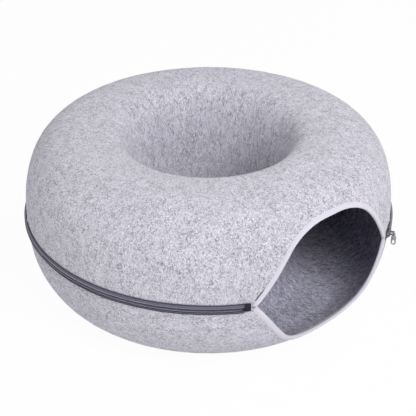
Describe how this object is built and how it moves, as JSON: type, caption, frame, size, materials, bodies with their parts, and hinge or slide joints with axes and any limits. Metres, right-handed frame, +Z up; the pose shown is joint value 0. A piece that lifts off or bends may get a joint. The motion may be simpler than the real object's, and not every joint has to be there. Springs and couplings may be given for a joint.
{
  "type": "donut cat tunnel",
  "caption": "Ring-shaped felt tunnel for a cat: two moulded halves zipped round the rim and round the well, with an arched entry in the side.",
  "frame": {"origin": "on the floor, under the middle of the bounding box", "axes": "+Z up along the ring's axis, which stands 9.2 mm from the origin's X axis towards -Y; the entry faces -Y, +X is to the right of someone facing the entry"},
  "size_m": [0.5006, 0.4822, 0.224],
  "materials": {
    "felt": "pale grey marled needle felt, matt",
    "binding": "pale woven binding tape, matt",
    "zip_tape": "dark grey woven zip tape",
    "zip_coil": "dark nylon coil, satin",
    "slider_metal": "dark nickel plating",
    "pull_metal": "bright nickel plating",
    "box_plastic": "black moulded nylon"
  },
  "bodies": {
    "tunnel": {"upper_shell": "felt", "lower_shell": "felt", "upper_entry_binding": "binding", "lower_entry_binding": "binding", "outer_zip_tape_upper": "zip_tape", "outer_zip_tape_lower": "zip_tape", "outer_zip_coil_upper": "zip_coil", "outer_zip_coil_lower": "zip_coil", "outer_zip_start_box": "box_plastic", "outer_zip_insertion_pin": "box_plastic", "outer_zip_end_stop_upper": "pull_metal", "outer_zip_end_stop_lower": "pull_metal", "inner_zip_tape_upper": "zip_tape", "inner_zip_tape_lower": "zip_tape", "inner_zip_coil_upper": "zip_coil", "inner_zip_coil_lower": "zip_coil", "inner_zip_start_box": "box_plastic", "inner_zip_insertion_pin": "box_plastic", "inner_zip_end_stop_upper": "pull_metal", "inner_zip_end_stop_lower": "pull_metal"},
    "outer_slider": {"outer_zip_slider": "slider_metal"},
    "outer_pull": {"outer_zip_pull": "pull_metal"},
    "inner_slider": {"inner_zip_slider": "slider_metal"},
    "inner_pull": {"inner_zip_pull": "pull_metal"}
  },
  "joints": [
    {"name": "outer_zip_travel", "type": "hinge", "parent": "tunnel", "child": "outer_slider", "pos_m": [0, -0.00923, 0.108], "axis": [0, 0, 1], "range_deg": [0, 296.3]},
    {"name": "outer_pull_swing", "type": "hinge", "parent": "outer_slider", "child": "outer_pull", "pos_m": [0.13293, -0.22866, 0.108], "axis": [-0.8553, -0.5181, 0], "range_deg": [-10, 190]},
    {"name": "inner_zip_travel", "type": "hinge", "parent": "tunnel", "child": "inner_slider", "pos_m": [0, -0.00923, 0.113], "axis": [0, 0, 1], "range_deg": [0, 339.5]},
    {"name": "inner_pull_swing", "type": "hinge", "parent": "inner_slider", "child": "inner_pull", "pos_m": [0.01868, -0.12644, 0.113], "axis": [-0.9875, -0.1574, 0], "range_deg": [-10, 190]}
  ]
}
